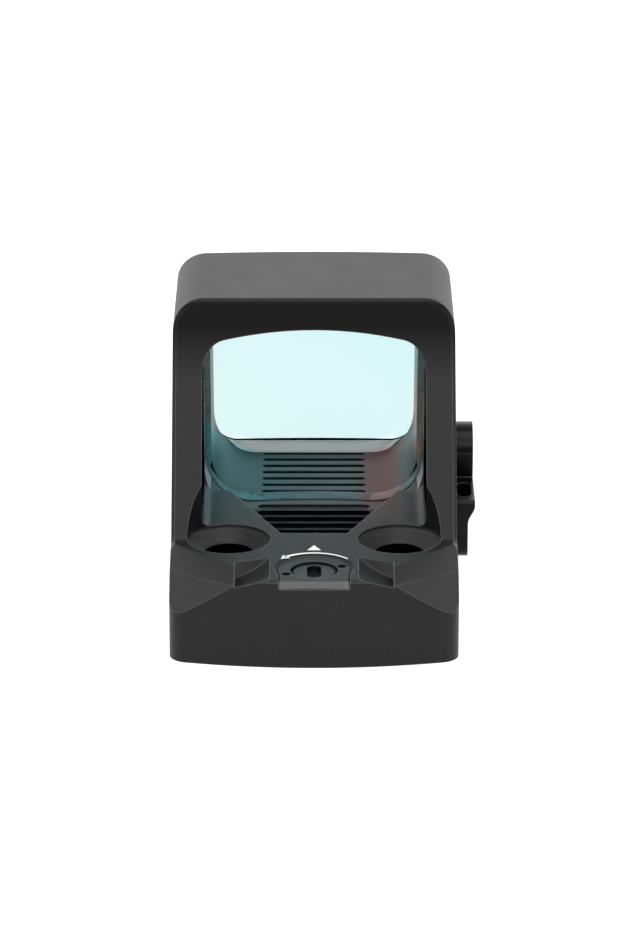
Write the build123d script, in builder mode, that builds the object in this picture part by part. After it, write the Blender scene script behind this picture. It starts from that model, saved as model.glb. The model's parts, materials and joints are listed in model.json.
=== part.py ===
"""Open reflex red dot sight: one-piece hooded housing, concave collimating lens,
emitter on a two-way adjustable carriage, side battery tray and two push buttons.

X points to the right as the user looks through the window, Y points forward to the
target, Z points up.  The origin is the middle of the housing's bottom face.
Millimetres throughout.
"""
import math
import os

from build123d import *

# ---- overall housing -------------------------------------------------------------
BODY_W = 24.1          # width across the flat sides
BODY_L = 40.6          # length, bowed rear to bowed front
BODY_H = 25.4          # height to the top of the hood
DECK_Z = 7.8           # rear deck with the screw holes and the elevation screw
REAR_BOW_R = 48.0
FRONT_BOW_R = 110.0
CORNER_R = 1.7         # plan corners
HOOD_CORNER_R = 2.55   # long top corners of the hood
HOOD_FOOT_Y = -11.0    # where the leaning rear face meets the deck
HOOD_TOP_REAR_Y = 0.6
HOOD_TOP_FRONT_Y = 14.4
HOOD_FOOT_R = 0.7
HOOD_EDGE = 0.3        # broken edge round the leaning rear face
NOSE_Z = 4.6           # where the leaning front face meets the bowed nose

# ---- window and lens -------------------------------------------------------------
WINDOW_HALF_W = 9.5
WINDOW_TOP_Z = 23.1
WINDOW_ARCH_R = 40.0
WINDOW_CORNER_R = 2.3
WINDOW_FOOT_R = 0.8    # fillet between the window's sides and the deck
LENS_HALF_W = 9.4
LENS_BOTTOM_Z = 5.15
LENS_TOP_Z = 23.0
LENS_LOW_CORNER_R = 4.5
LENS_R = 33.0          # concave rear surface, twice its focal length
LENS_CENTRE_Y = -26.75  # common centre of the lens surfaces
LENS_CENTRE_Z = 6.26
REAR_ELEMENT_T = 1.1
FRONT_ELEMENT_T = 0.9
SEAL_T = 0.1
BORE_REAR_Y = 1.2      # the lens bore runs this far back from the lens
TUNNEL_HALF_W = 9.0    # in front of the lens, narrower so that it seats the lens
TUNNEL_TOP_Z = 22.6
TUNNEL_FLOOR_Z = 5.05
TUNNEL_CORNER_R = 3.9
TUNNEL_REAR_Y = 3.0    # reaches the lens's front surface everywhere
TUNNEL_END_Y = 18.8    # where the floor starts to rise to the front lip
LIP_Y = 19.2
LIP_Z = 6.05
LIP_CORNER_R = 2.1
FLOOR_GROOVE_COUNT = 7  # anti-glare grooves in the tunnel floor
FLOOR_GROOVE_FIRST_Y = 8.5
FLOOR_GROOVE_PITCH = 1.66
FLOOR_GROOVE_HALF_W = 4.6
FLOOR_GROOVE_W = 0.66
FLOOR_GROOVE_DEPTH = 0.4

# ---- emitter channel in front of the deck ----------------------------------------
CHANNEL_FLOOR_Z = LENS_BOTTOM_Z - SEAL_T
CHANNEL_REAR_Y = -9.27
CHANNEL_REAR_HALF_W = 2.83
CHANNEL_SPREAD = 0.426  # half width gained per millimetre forward
RIDGE_COUNT = 6         # cross grooves in the channel floor, with narrow lands between
RIDGE_PITCH = 1.6
RIDGE_FIRST_Y = -3.4
RIDGE_HALF_W = 4.9
RIDGE_GROOVE_W = 1.2
RIDGE_DEPTH = 0.33

# ---- mounting screws and rear deck -----------------------------------------------
SCREW_X = 7.2
SCREW_Y = -10.6
SCREW_HOLE_R = 2.0
SCREW_HEAD_R = 3.52
SCREW_CONE_TOP_Z = 7.45
SCREW_CONE_LOW_Z = 6.55
SCALLOP_TOP_R = 2.1    # the cut beside each screw narrows as it climbs the hood
TONGUE_HALF_W = 3.7
BOSS_R = 5.45
BOSS_DRAFT = math.radians(42)
SCOOP_Y = -17.6         # lowest line of the round-bottomed scoops beside the tongue
SCOOP_Z = 7.4           # its height at the tongue
SCOOP_R = 9.5
SCOOP_LEAN = math.radians(14)  # the scoops fall away towards the sides
SCOOP_OUT_X = 6.6
# three points on each bevel of the left and right rear corners, x outwards
UPPER_BEVEL = [(12.05, -11.5, 7.8), (12.05, -15.5, 6.75), (6.8, -19.8, 7.1)]
LOWER_BEVEL = [(6.8, -19.8, 7.05), (10.8, -19.1, 4.5), (12.05, -15.5, 6.75)]

# ---- elevation mechanism ---------------------------------------------------------
ELEV_Y = -17.53
PLATE_R = 3.05
PLATE_HALF_W = 2.9
PLATE_TOP_Z = 7.65
PLATE_LOW_Z = 6.95
PLATE_GAP = 0.05
PLATE_RIM = 0.3         # broken edge round the plate's pocket
ELEV_HEAD_R = 1.84
ELEV_HEAD_LOW_Z = 6.15
ELEV_HEAD_TOP_Z = 7.5
ELEV_SHANK_R = 1.0
SHANK_CLEAR = 0.05
CARRIAGE_HALF_W = 2.95   # cavity half width
CAVITY_REAR_Y = -19.15
CAVITY_FRONT_Y = -9.9
CAVITY_TOP_Z = 5.85

# ---- windage mechanism -----------------------------------------------------------
WIND_Y = -13.8
WIND_Z = 3.2
WIND_HEAD_R = 1.6
WIND_SHANK_R = 0.7
WIND_HEAD_IN_X = 10.15
WIND_HEAD_OUT_X = 11.85

# ---- emitter port and head -------------------------------------------------------
PORT_Z = 6.5
PORT_W = 2.4
PORT_H = 1.4
PORT_SEAT_Y = -9.6
HEAD_REAR_Y = -12.4    # upright head of the emitter block
HEAD_TOP_Z = 6.9
BLOCK_LOW_Z = 1.9
BLOCK_TOP_Z = 5.4
BLOCK_HALF_W = 2.2
BLOCK_REAR_Y = -15.5
BLOCK_FRONT_Y = -11.3
SLIDER_HALF_W = 2.6
SLIDER_REAR_Y = -19.0
SLIDER_FRONT_Y = -15.8
NUT_POCKET_X = 4.75
NUT_TOP_Z = 4.2
PIN_X = 1.95
PIN_Y = -16.3
PIN_R = 0.35
PIN_LOW_Z = 1.1
PIN_TOP_Z = 6.5

# ---- battery tray ----------------------------------------------------------------
TRAY_Y = 9.5
BATTERY_X = 1.8
BATTERY_R = 8.0
BATTERY_T = 2.0
SLOT_LOW_Z = 1.9
SLOT_TOP_Z = 4.4
SLOT_HALF_L = 8.2
SLOT_END_X = -6.5
TRAY_FLOOR_LOW_Z = 2.0
TRAY_FLOOR_TOP_Z = 2.3
DOOR_IN_X = 12.15
DOOR_THIN_X = 13.4
DOOR_LIP_X = 14.0
DOOR_HALF_L = 8.5
DOOR_LOW_Z = 1.45
DOOR_TOP_Z = 6.85
DOOR_LIP_T = 0.6        # upright edge of the finger lip
DOOR_SWELL_Z = 4.7      # where the thin part starts to swell
NAIL_SLOT_X = 13.1
NAIL_SLOT_Y = 5.5       # either side of the ear
NAIL_SLOT_L = 3.4
NAIL_SLOT_W = 1.25
EAR_Z = 8.85
EAR_R = 2.3
EAR_OUT_X = 14.0
TRAY_SCREW_R = 0.7
TRAY_SCREW_END_X = 10.0
TRAY_BORE_X = 9.8

# ---- base cover and electronics --------------------------------------------------
COVER_T = 0.7
LEDGE_Z = 0.85
COVER_HALF_W = 10.3
COVER_REAR_Y = -5.6
COVER_FRONT_Y = 19.2
COVER_SCREWS = [(-9.2, -4.2), (9.2, -4.2), (-9.0, 17.9), (9.0, 17.9)]
COVER_SCREW_R = 0.6
COVER_SCREW_TOP_Z = 1.7
BAY_Y = 6.2
BAY_W = 16.4
BAY_L = 22.4
BOARD_LOW_Z = 0.95
BOARD_TOP_Z = 1.45

# ---- push buttons on the left side -----------------------------------------------
BUTTON_Z = 4.6
BUTTON_YS = {"up": 13.7, "down": 5.3}
BUTTON_L = 5.2
BUTTON_H = 3.0
KEYPAD_Y = 9.5
KEYPAD_L = 16.0
KEYPAD_H = 4.8
KEYPAD_IN_X = -9.7

HALF_W = BODY_W / 2
HALF_L = BODY_L / 2
UPRIGHT = (Align.CENTER, Align.CENTER, Align.MIN)


def bow(radius, half_width):
    """Sag of an arc of this radius over this half width."""
    return radius - math.sqrt(radius ** 2 - half_width ** 2)


def rear_plane(y):
    """Upright plane at this Y, seen from behind: local x is X, local y is Z."""
    return Plane(origin=(0, y, 0), x_dir=(1, 0, 0), z_dir=(0, -1, 0))


def side_plane(x):
    """Upright plane at this X, facing +X: local x is Y, local y is Z."""
    return Plane(origin=(x, 0, 0), x_dir=(0, 1, 0), z_dir=(1, 0, 0))


def arched_outline(half_w, low_z, top_z, low_r, top_r):
    """Window shape: flat floor, straight sides, arched top and rounded corners."""
    shoulder_z = top_z - bow(WINDOW_ARCH_R, half_w)
    with BuildSketch() as outline:
        with BuildLine():
            ThreePointArc((-half_w, shoulder_z), (0, top_z), (half_w, shoulder_z))
            Polyline((half_w, shoulder_z), (half_w, low_z), (-half_w, low_z), (-half_w, shoulder_z))
        make_face()
        fillet(outline.vertices().group_by(Axis.Y)[-1], top_r)
        if low_r:
            fillet(outline.vertices().group_by(Axis.Y)[0], low_r)
    return outline.sketch


def lens_outline(grow):
    """The lens edge, or its bore when grown by the seal."""
    return arched_outline(
        LENS_HALF_W + grow,
        LENS_BOTTOM_Z - grow,
        LENS_TOP_Z + grow,
        LENS_LOW_CORNER_R + grow,
        WINDOW_CORNER_R + grow,
    )


def cover_outline(inset=0.0):
    """Base cover: wide under the electronics, with a tail under the carriage."""
    tail_half_w = 5.4 - inset
    neck_half_w = 3.9 - inset
    tail_rear_y = -19.5 + inset
    tail_front_y = -12.7 - inset
    wide_rear_y = COVER_REAR_Y + inset
    with BuildSketch() as outline:
        with Locations((0, (wide_rear_y + COVER_FRONT_Y - inset) / 2)):
            RectangleRounded(2 * (COVER_HALF_W - inset), COVER_FRONT_Y - inset - wide_rear_y, 1.5)
        with Locations((0, (tail_front_y + COVER_REAR_Y) / 2)):
            Rectangle(2 * neck_half_w, COVER_REAR_Y - tail_front_y + 2)
        with Locations((0, (tail_rear_y + tail_front_y) / 2)):
            RectangleRounded(2 * tail_half_w, tail_front_y - tail_rear_y, 0.8)
    return outline.sketch


def lens_shell(inner_r, outer_r, label):
    """Slice of the lens bore between two concentric spherical surfaces."""
    with BuildPart() as element:
        with BuildSketch(rear_plane(15.0)):
            add(lens_outline(0))
        extrude(amount=20.0)
        with Locations((0, LENS_CENTRE_Y, LENS_CENTRE_Z)):
            Sphere(outer_r, mode=Mode.INTERSECT)
        with Locations((0, LENS_CENTRE_Y, LENS_CENTRE_Z)):
            Sphere(inner_r, mode=Mode.SUBTRACT)
    element.part.label = label
    return element


def write(part, label):
    """Label one finished piece and write it as its own STEP file."""
    part.label = label
    export_step(part, f"parts/{label}.step")


os.makedirs("parts", exist_ok=True)

# ==== lens ========================================================================
REAR_ELEMENT_R = LENS_R + REAR_ELEMENT_T
LENS_FRONT_R = REAR_ELEMENT_R + FRONT_ELEMENT_T

lens_rear_element = lens_shell(LENS_R, REAR_ELEMENT_R, "lens_rear_element")
lens_front_element = lens_shell(REAR_ELEMENT_R, LENS_FRONT_R, "lens_front_element")

# the bore that takes the lens: everything behind the lens's front surface
with BuildPart() as lens_bore:
    with BuildSketch(rear_plane(15.0)):
        add(lens_outline(SEAL_T))
    extrude(amount=15.0 - BORE_REAR_Y)
    with Locations((0, LENS_CENTRE_Y, LENS_CENTRE_Z)):
        Sphere(LENS_FRONT_R, mode=Mode.INTERSECT)

# bead of sealant round the lens edge
with BuildPart() as lens_seal:
    with BuildSketch(rear_plane(15.0)):
        add(lens_outline(SEAL_T))
        add(lens_outline(0), mode=Mode.SUBTRACT)
    extrude(amount=20.0)
    with Locations((0, LENS_CENTRE_Y, LENS_CENTRE_Z)):
        Sphere(LENS_FRONT_R, mode=Mode.INTERSECT)
    with Locations((0, LENS_CENTRE_Y, LENS_CENTRE_Z)):
        Sphere(LENS_R + 0.2, mode=Mode.SUBTRACT)

# ==== housing =====================================================================
REAR_SIDE_Y = -HALF_L + bow(REAR_BOW_R, HALF_W)
FRONT_SIDE_Y = HALF_L - bow(FRONT_BOW_R, HALF_W)
CHANNEL_FRONT_HALF_W = CHANNEL_REAR_HALF_W + CHANNEL_SPREAD * (BORE_REAR_Y - CHANNEL_REAR_Y)
HOOD_LEAN = (HOOD_TOP_REAR_Y - HOOD_FOOT_Y) / (BODY_H - DECK_Z)
HOOD_NORMAL = Vector(0, -1, HOOD_LEAN).normalized()


# long cylinder that leans with the hood's front face and gives it the bow of the nose
FRONT_RISE = Vector(0, HOOD_TOP_FRONT_Y - HALF_L, BODY_H - NOSE_Z).normalized()
FRONT_NORMAL = Vector(0, FRONT_RISE.Z, -FRONT_RISE.Y)
with BuildPart() as front_sweep:
    with BuildSketch(Plane(origin=Vector(0, HALF_L, NOSE_Z) - FRONT_NORMAL * FRONT_BOW_R, z_dir=FRONT_RISE)):
        Circle(FRONT_BOW_R)
    extrude(amount=2 * BODY_H, both=True)


def corner_bevel(side, low_point, inner_point, outer_point):
    """Big wedge above the plane through three points on one rear corner."""
    points = [Vector(side * x, y, z) for x, y, z in (low_point, inner_point, outer_point)]
    normal = (points[1] - points[0]).cross(points[2] - points[0]).normalized()
    if normal.Z < 0:
        normal = normal * -1
    with BuildPart() as wedge:
        with BuildSketch(Plane(origin=points[0], z_dir=normal)):
            Rectangle(40, 40)
        extrude(amount=14)
        with Locations((side * (TONGUE_HALF_W + 15), HOOD_FOOT_Y - 15, 8)):
            Box(30, 30, 16, mode=Mode.INTERSECT)
    return wedge.part


def scoop(side):
    """Round-bottomed cut beside the tongue that leaves the drafted screw boss standing."""
    axis = Vector(side * math.cos(SCOOP_LEAN), 0, -math.sin(SCOOP_LEAN))
    start = (side * TONGUE_HALF_W, SCOOP_Y, SCOOP_Z + SCOOP_R / math.cos(SCOOP_LEAN))
    with BuildPart() as cutter:
        with BuildSketch(Plane(origin=start, x_dir=(0, 1, 0), z_dir=axis)):
            Circle(SCOOP_R)
        extrude(amount=HALF_W, both=True)
        with Locations((side * (TONGUE_HALF_W + SCOOP_OUT_X) / 2, SCOOP_Y, 0)):
            Box(SCOOP_OUT_X - TONGUE_HALF_W, 2 * SCOOP_R, DECK_Z + 1, align=UPRIGHT, mode=Mode.INTERSECT)
        with Locations((side * SCREW_X, SCREW_Y, 0)):
            Cone(
                BOSS_R + DECK_Z * math.tan(BOSS_DRAFT), BOSS_R, DECK_Z,
                align=UPRIGHT, mode=Mode.SUBTRACT,
            )
        with Locations((side * SCREW_X, SCREW_Y, DECK_Z)):
            Cylinder(BOSS_R, 2, align=UPRIGHT, mode=Mode.SUBTRACT)
    return cutter.part


with BuildPart() as housing:
    # plan of the body, then its side profile
    with BuildSketch() as plan:
        with BuildLine():
            ThreePointArc((-HALF_W, REAR_SIDE_Y), (0, -HALF_L), (HALF_W, REAR_SIDE_Y))
            Line((HALF_W, REAR_SIDE_Y), (HALF_W, FRONT_SIDE_Y))
            ThreePointArc((HALF_W, FRONT_SIDE_Y), (0, HALF_L), (-HALF_W, FRONT_SIDE_Y))
            Line((-HALF_W, FRONT_SIDE_Y), (-HALF_W, REAR_SIDE_Y))
        make_face()
        fillet(plan.vertices(), CORNER_R)
    extrude(amount=BODY_H)
    with BuildSketch(side_plane(0)):
        with BuildLine():
            Polyline(
                (-HALF_L - 1, 0),
                (HALF_L + 1, 0),
                (HALF_L + 1, BODY_H),
                (HOOD_TOP_REAR_Y, BODY_H),
                (HOOD_FOOT_Y, DECK_Z),
                (-HALF_L - 1, DECK_Z),
                close=True,
            )
        make_face()
    extrude(amount=HALF_W + 1, both=True, mode=Mode.INTERSECT)
    add(front_sweep.part, mode=Mode.INTERSECT)
    fillet(housing.edges().filter_by(Axis.Y).group_by(Axis.Z)[-1], HOOD_CORNER_R)
    foot_edges = housing.edges().filter_by(Axis.X).filter_by_position(Axis.Z, DECK_Z - 0.1, DECK_Z + 0.1)
    fillet(foot_edges.sort_by(Axis.Y)[-1], HOOD_FOOT_R)
    leaning_face = housing.faces().filter_by(
        lambda face: face.normal_at().dot(HOOD_NORMAL) > 0.999
    ).sort_by(SortBy.AREA)[-1]
    chamfer(leaning_face.edges().filter_by(lambda edge: edge.center().Z > DECK_Z + 2), HOOD_EDGE)

    # window behind the lens, lens bore and front tunnel
    with BuildSketch(rear_plane(BORE_REAR_Y + 0.5)):
        add(arched_outline(WINDOW_HALF_W, DECK_Z, WINDOW_TOP_Z, WINDOW_FOOT_R, WINDOW_CORNER_R))
    extrude(amount=15, mode=Mode.SUBTRACT)
    add(lens_bore.part, mode=Mode.SUBTRACT)
    with BuildSketch(rear_plane(TUNNEL_END_Y)):
        add(arched_outline(TUNNEL_HALF_W, TUNNEL_FLOOR_Z, TUNNEL_TOP_Z, TUNNEL_CORNER_R, WINDOW_CORNER_R))
    extrude(amount=TUNNEL_END_Y - TUNNEL_REAR_Y, mode=Mode.SUBTRACT)
    with BuildSketch(rear_plane(TUNNEL_END_Y)):
        add(arched_outline(TUNNEL_HALF_W, TUNNEL_FLOOR_Z, TUNNEL_TOP_Z, TUNNEL_CORNER_R, WINDOW_CORNER_R))
    with BuildSketch(rear_plane(LIP_Y)):
        add(arched_outline(TUNNEL_HALF_W, LIP_Z, TUNNEL_TOP_Z, LIP_CORNER_R, WINDOW_CORNER_R))
    loft(mode=Mode.SUBTRACT)
    with BuildSketch(rear_plane(HALF_L + 2)):
        add(arched_outline(TUNNEL_HALF_W, LIP_Z, TUNNEL_TOP_Z, LIP_CORNER_R, WINDOW_CORNER_R))
    extrude(amount=HALF_L + 2 - LIP_Y, mode=Mode.SUBTRACT)
    for i in range(FLOOR_GROOVE_COUNT):
        with BuildSketch(Plane.XY.offset(TUNNEL_FLOOR_Z)):
            with Locations((0, FLOOR_GROOVE_FIRST_Y + i * FLOOR_GROOVE_PITCH)):
                SlotOverall(2 * FLOOR_GROOVE_HALF_W, FLOOR_GROOVE_W)
        extrude(amount=-FLOOR_GROOVE_DEPTH, mode=Mode.SUBTRACT)

    # V-shaped emitter channel with its anti-glare grooves
    with BuildSketch(Plane.XY.offset(CHANNEL_FLOOR_Z)):
        with BuildLine():
            Polyline(
                (-CHANNEL_REAR_HALF_W, CHANNEL_REAR_Y),
                (CHANNEL_REAR_HALF_W, CHANNEL_REAR_Y),
                (CHANNEL_FRONT_HALF_W, BORE_REAR_Y),
                (-CHANNEL_FRONT_HALF_W, BORE_REAR_Y),
                close=True,
            )
        make_face()
    extrude(amount=DECK_Z, mode=Mode.SUBTRACT)
    for i in range(RIDGE_COUNT):
        with BuildSketch(Plane.XY.offset(CHANNEL_FLOOR_Z)):
            with Locations((0, RIDGE_FIRST_Y + i * RIDGE_PITCH)):
                SlotOverall(2 * RIDGE_HALF_W, RIDGE_GROOVE_W)
        extrude(amount=-RIDGE_DEPTH, mode=Mode.SUBTRACT)

    # emitter port in the rear wall of the channel, with a seat for its window
    with BuildSketch(rear_plane(CHANNEL_REAR_Y + 0.1)):
        with Locations((0, PORT_Z)):
            RectangleRounded(PORT_W, PORT_H, 0.3)
    extrude(amount=1.0, mode=Mode.SUBTRACT)
    with BuildSketch(rear_plane(PORT_SEAT_Y)):
        with Locations((0, PORT_Z)):
            RectangleRounded(PORT_W + 0.6, PORT_H + 0.6, 0.5)
    extrude(amount=0.5, mode=Mode.SUBTRACT)

    # scoops beside the central tongue, and the bevelled rear corners
    for side in (-1, 1):
        add(scoop(side), mode=Mode.SUBTRACT)
        add(corner_bevel(side, *UPPER_BEVEL), mode=Mode.SUBTRACT)
        add(corner_bevel(side, *LOWER_BEVEL), mode=Mode.SUBTRACT)

    # counterbored mounting holes, whose cutters also scallop the foot of the hood
    for side in (-1, 1):
        with Locations((side * SCREW_X, SCREW_Y, 0)):
            Cylinder(SCREW_HOLE_R, DECK_Z, align=UPRIGHT, mode=Mode.SUBTRACT)
        with Locations((side * SCREW_X, SCREW_Y, SCREW_CONE_LOW_Z)):
            Cone(
                SCREW_HOLE_R, SCREW_HEAD_R, SCREW_CONE_TOP_Z - SCREW_CONE_LOW_Z,
                align=UPRIGHT, mode=Mode.SUBTRACT,
            )
        with Locations((side * SCREW_X, SCREW_Y, SCREW_CONE_TOP_Z)):
            Cylinder(SCREW_HEAD_R, DECK_Z - SCREW_CONE_TOP_Z, align=UPRIGHT, mode=Mode.SUBTRACT)
        with Locations((side * SCREW_X, SCREW_Y, DECK_Z)):
            Cone(SCREW_HEAD_R, SCALLOP_TOP_R, BODY_H - DECK_Z, align=UPRIGHT, mode=Mode.SUBTRACT)

    # pocket for the elevation plate, open to the rear, and the stepped screw bore
    with BuildSketch(Plane.XY.offset(PLATE_LOW_Z)):
        with Locations((0, ELEV_Y)):
            Circle(PLATE_R + PLATE_GAP)
        with Locations((0, ELEV_Y - 2)):
            Rectangle(2 * (PLATE_HALF_W + PLATE_GAP), 4)
    extrude(amount=2.0, mode=Mode.SUBTRACT)
    with Locations((0, ELEV_Y, PLATE_TOP_Z)):
        Cone(
            PLATE_R + PLATE_GAP, PLATE_R + PLATE_GAP + PLATE_RIM, DECK_Z - PLATE_TOP_Z,
            align=UPRIGHT, mode=Mode.SUBTRACT,
        )
    with Locations((0, ELEV_Y, ELEV_HEAD_LOW_Z - 0.05)):
        Cylinder(ELEV_HEAD_R + 0.06, 2, align=UPRIGHT, mode=Mode.SUBTRACT)
    with Locations((0, ELEV_Y, CAVITY_TOP_Z - 0.2)):
        Cylinder(ELEV_SHANK_R + 0.1, 1, align=UPRIGHT, mode=Mode.SUBTRACT)

    # carriage cavity, taller in front for the emitter head, and the nut pocket beside it
    with BuildSketch():
        with Locations((0, (CAVITY_REAR_Y + CAVITY_FRONT_Y) / 2)):
            Rectangle(2 * CARRIAGE_HALF_W, CAVITY_FRONT_Y - CAVITY_REAR_Y)
    extrude(amount=CAVITY_TOP_Z, mode=Mode.SUBTRACT)
    with Locations((0, (HEAD_REAR_Y - 0.5 + CAVITY_FRONT_Y) / 2, 4)):
        Box(
            3.6, CAVITY_FRONT_Y - HEAD_REAR_Y + 0.5, HEAD_TOP_Z + 0.35 - 4,
            align=UPRIGHT, mode=Mode.SUBTRACT,
        )
    with Locations(((CARRIAGE_HALF_W + NUT_POCKET_X) / 2, WIND_Y, 0)):
        Box(
            NUT_POCKET_X - CARRIAGE_HALF_W + 0.2, 2.6, NUT_TOP_Z + 0.15,
            align=UPRIGHT, mode=Mode.SUBTRACT,
        )
    for side in (-1, 1):
        with Locations((side * PIN_X, PIN_Y, PIN_LOW_Z)):
            Cylinder(PIN_R, PIN_TOP_Z - PIN_LOW_Z, align=UPRIGHT, mode=Mode.SUBTRACT)

    # windage screw bore from the right side
    with BuildSketch(side_plane(CARRIAGE_HALF_W)):
        with Locations((WIND_Y, WIND_Z)):
            Circle(WIND_SHANK_R + 0.06)
    extrude(amount=10, mode=Mode.SUBTRACT)
    with BuildSketch(side_plane(WIND_HEAD_IN_X - 0.05)):
        with Locations((WIND_Y, WIND_Z)):
            Circle(WIND_HEAD_R + 0.06)
    extrude(amount=5, mode=Mode.SUBTRACT)

    # slot for the battery tray, contact recess and screw hole of the tray
    with Locations(((SLOT_END_X + HALF_W + 1) / 2, TRAY_Y, SLOT_LOW_Z)):
        Box(
            HALF_W + 1 - SLOT_END_X, 2 * SLOT_HALF_L, SLOT_TOP_Z - SLOT_LOW_Z,
            align=UPRIGHT, mode=Mode.SUBTRACT,
        )
    with Locations((SLOT_END_X - 0.5, TRAY_Y, BOARD_TOP_Z)):
        Box(1.4, 4.0, SLOT_TOP_Z - BOARD_TOP_Z, align=UPRIGHT, mode=Mode.SUBTRACT)
    with BuildSketch(side_plane(TRAY_BORE_X)):
        with Locations((TRAY_Y, EAR_Z)):
            Circle(TRAY_SCREW_R + SHANK_CLEAR)
    extrude(amount=5, mode=Mode.SUBTRACT)

    # base cover recess, electronics bay and cover screw holes
    with BuildSketch():
        add(cover_outline())
    extrude(amount=LEDGE_Z, mode=Mode.SUBTRACT)
    with BuildSketch():
        with Locations((0, BAY_Y)):
            RectangleRounded(BAY_W, BAY_L, 1.0)
    extrude(amount=SLOT_LOW_Z, mode=Mode.SUBTRACT)
    with Locations(*[(x, y, 0) for x, y in COVER_SCREWS]):
        Cylinder(COVER_SCREW_R, COVER_SCREW_TOP_Z, align=UPRIGHT, mode=Mode.SUBTRACT)

    # keypad recess in the left side
    with BuildSketch(side_plane(-HALF_W - 1)):
        with Locations((KEYPAD_Y, BUTTON_Z)):
            RectangleRounded(KEYPAD_L, KEYPAD_H, 1.2)
    extrude(amount=KEYPAD_IN_X + HALF_W + 1, mode=Mode.SUBTRACT)

# ==== emitter window and its bezel ================================================
with BuildPart() as emitter_window:
    with BuildSketch(rear_plane(PORT_SEAT_Y)):
        with Locations((0, PORT_Z)):
            RectangleRounded(PORT_W + 0.5, PORT_H + 0.5, 0.45)
    extrude(amount=0.25)

with BuildPart() as emitter_bezel:
    with BuildSketch(rear_plane(CHANNEL_REAR_Y + 0.12)):
        with Locations((0, PORT_Z)):
            RectangleRounded(PORT_W + 0.7, PORT_H + 0.7, 0.5)
            RectangleRounded(PORT_W - 0.1, PORT_H - 0.1, 0.3, mode=Mode.SUBTRACT)
    extrude(amount=0.12)

# ==== elevation screw, plate, seal, spring and guide pins =========================
with BuildPart() as elevation_screw:
    with Locations((0, ELEV_Y, ELEV_HEAD_LOW_Z)):
        Cylinder(ELEV_HEAD_R, ELEV_HEAD_TOP_Z - ELEV_HEAD_LOW_Z, align=UPRIGHT)
    chamfer(elevation_screw.edges().group_by(Axis.Z)[-1], 0.12)
    with Locations((0, ELEV_Y, ELEV_HEAD_LOW_Z + 0.3)):
        Cylinder(ELEV_HEAD_R + 0.5, 0.36, align=UPRIGHT, mode=Mode.SUBTRACT)
        Cylinder(ELEV_HEAD_R - 0.34, 0.36, align=UPRIGHT)
    with Locations((0, ELEV_Y, PIN_LOW_Z + 0.2)):
        Cylinder(ELEV_SHANK_R, ELEV_HEAD_LOW_Z - PIN_LOW_Z - 0.2, align=UPRIGHT)
    with BuildSketch(Plane.XY.offset(ELEV_HEAD_TOP_Z)):
        with Locations((0, ELEV_Y)):
            SlotOverall(2.7, 1.17, rotation=90)
    extrude(amount=-0.55, mode=Mode.SUBTRACT)

with BuildPart() as elevation_o_ring:
    with Locations((0, ELEV_Y, ELEV_HEAD_LOW_Z + 0.32)):
        Cylinder(ELEV_HEAD_R + 0.02, 0.32, align=UPRIGHT)
        Cylinder(ELEV_HEAD_R - 0.33, 0.32, align=UPRIGHT, mode=Mode.SUBTRACT)

with BuildPart() as elevation_plate:
    with BuildSketch(Plane.XY.offset(PLATE_LOW_Z)):
        with Locations((0, ELEV_Y)):
            Circle(PLATE_R)
        with Locations((0, ELEV_Y - 1.4)):
            Rectangle(2 * PLATE_HALF_W, 2.8)
        with Locations((0, ELEV_Y)):
            Circle(ELEV_HEAD_R + 0.16, mode=Mode.SUBTRACT)
        with Locations((-2.3, ELEV_Y - 0.9), (2.3, ELEV_Y + 0.9)):
            Circle(0.42, mode=Mode.SUBTRACT)
        with Locations((0, -HALF_L + 5.1)):
            Rectangle(8, 10, mode=Mode.INTERSECT)
    extrude(amount=PLATE_TOP_Z - PLATE_LOW_Z)
    chamfer(elevation_plate.faces().sort_by(Axis.Z)[-1].outer_wire().edges(), 0.08)

with BuildPart() as elevation_spring:
    with BuildLine():
        Helix(pitch=0.36, height=1.0, radius=1.35, center=(0, ELEV_Y, COVER_T + 0.13))
    with BuildSketch(Plane(origin=(1.35, ELEV_Y, COVER_T + 0.13), z_dir=(0, 1, 0.04))):
        Circle(0.1)
    sweep(is_frenet=True)

for side, name in ((-1, "guide_pin_left"), (1, "guide_pin_right")):
    with BuildPart() as guide_pin:
        with Locations((side * PIN_X, PIN_Y, PIN_LOW_Z)):
            Cylinder(PIN_R, PIN_TOP_Z - PIN_LOW_Z, align=UPRIGHT)
    write(guide_pin.part, name)

# ==== lift slider, emitter block and windage nut ==================================
BLOCK_T = BLOCK_TOP_Z - BLOCK_LOW_Z

with BuildPart() as lift_slider:
    with Locations((0, (SLIDER_REAR_Y + SLIDER_FRONT_Y) / 2, BLOCK_LOW_Z)):
        Box(2 * SLIDER_HALF_W, SLIDER_FRONT_Y - SLIDER_REAR_Y, BLOCK_T, align=UPRIGHT)
    with Locations((-0.7, -15.2, 3.3)):
        Box(2.4, 1.4, 0.8, align=UPRIGHT)
    with Locations((-0.7, -14.35, 2.8)):
        Box(2.4, 0.6, 1.8, align=UPRIGHT)
    with Locations((0, ELEV_Y, BLOCK_LOW_Z)):
        Cylinder(ELEV_SHANK_R + SHANK_CLEAR, BLOCK_T, align=UPRIGHT, mode=Mode.SUBTRACT)
    for side in (-1, 1):
        with Locations((side * PIN_X, PIN_Y, BLOCK_LOW_Z)):
            Cylinder(PIN_R + SHANK_CLEAR, BLOCK_T, align=UPRIGHT, mode=Mode.SUBTRACT)

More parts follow.
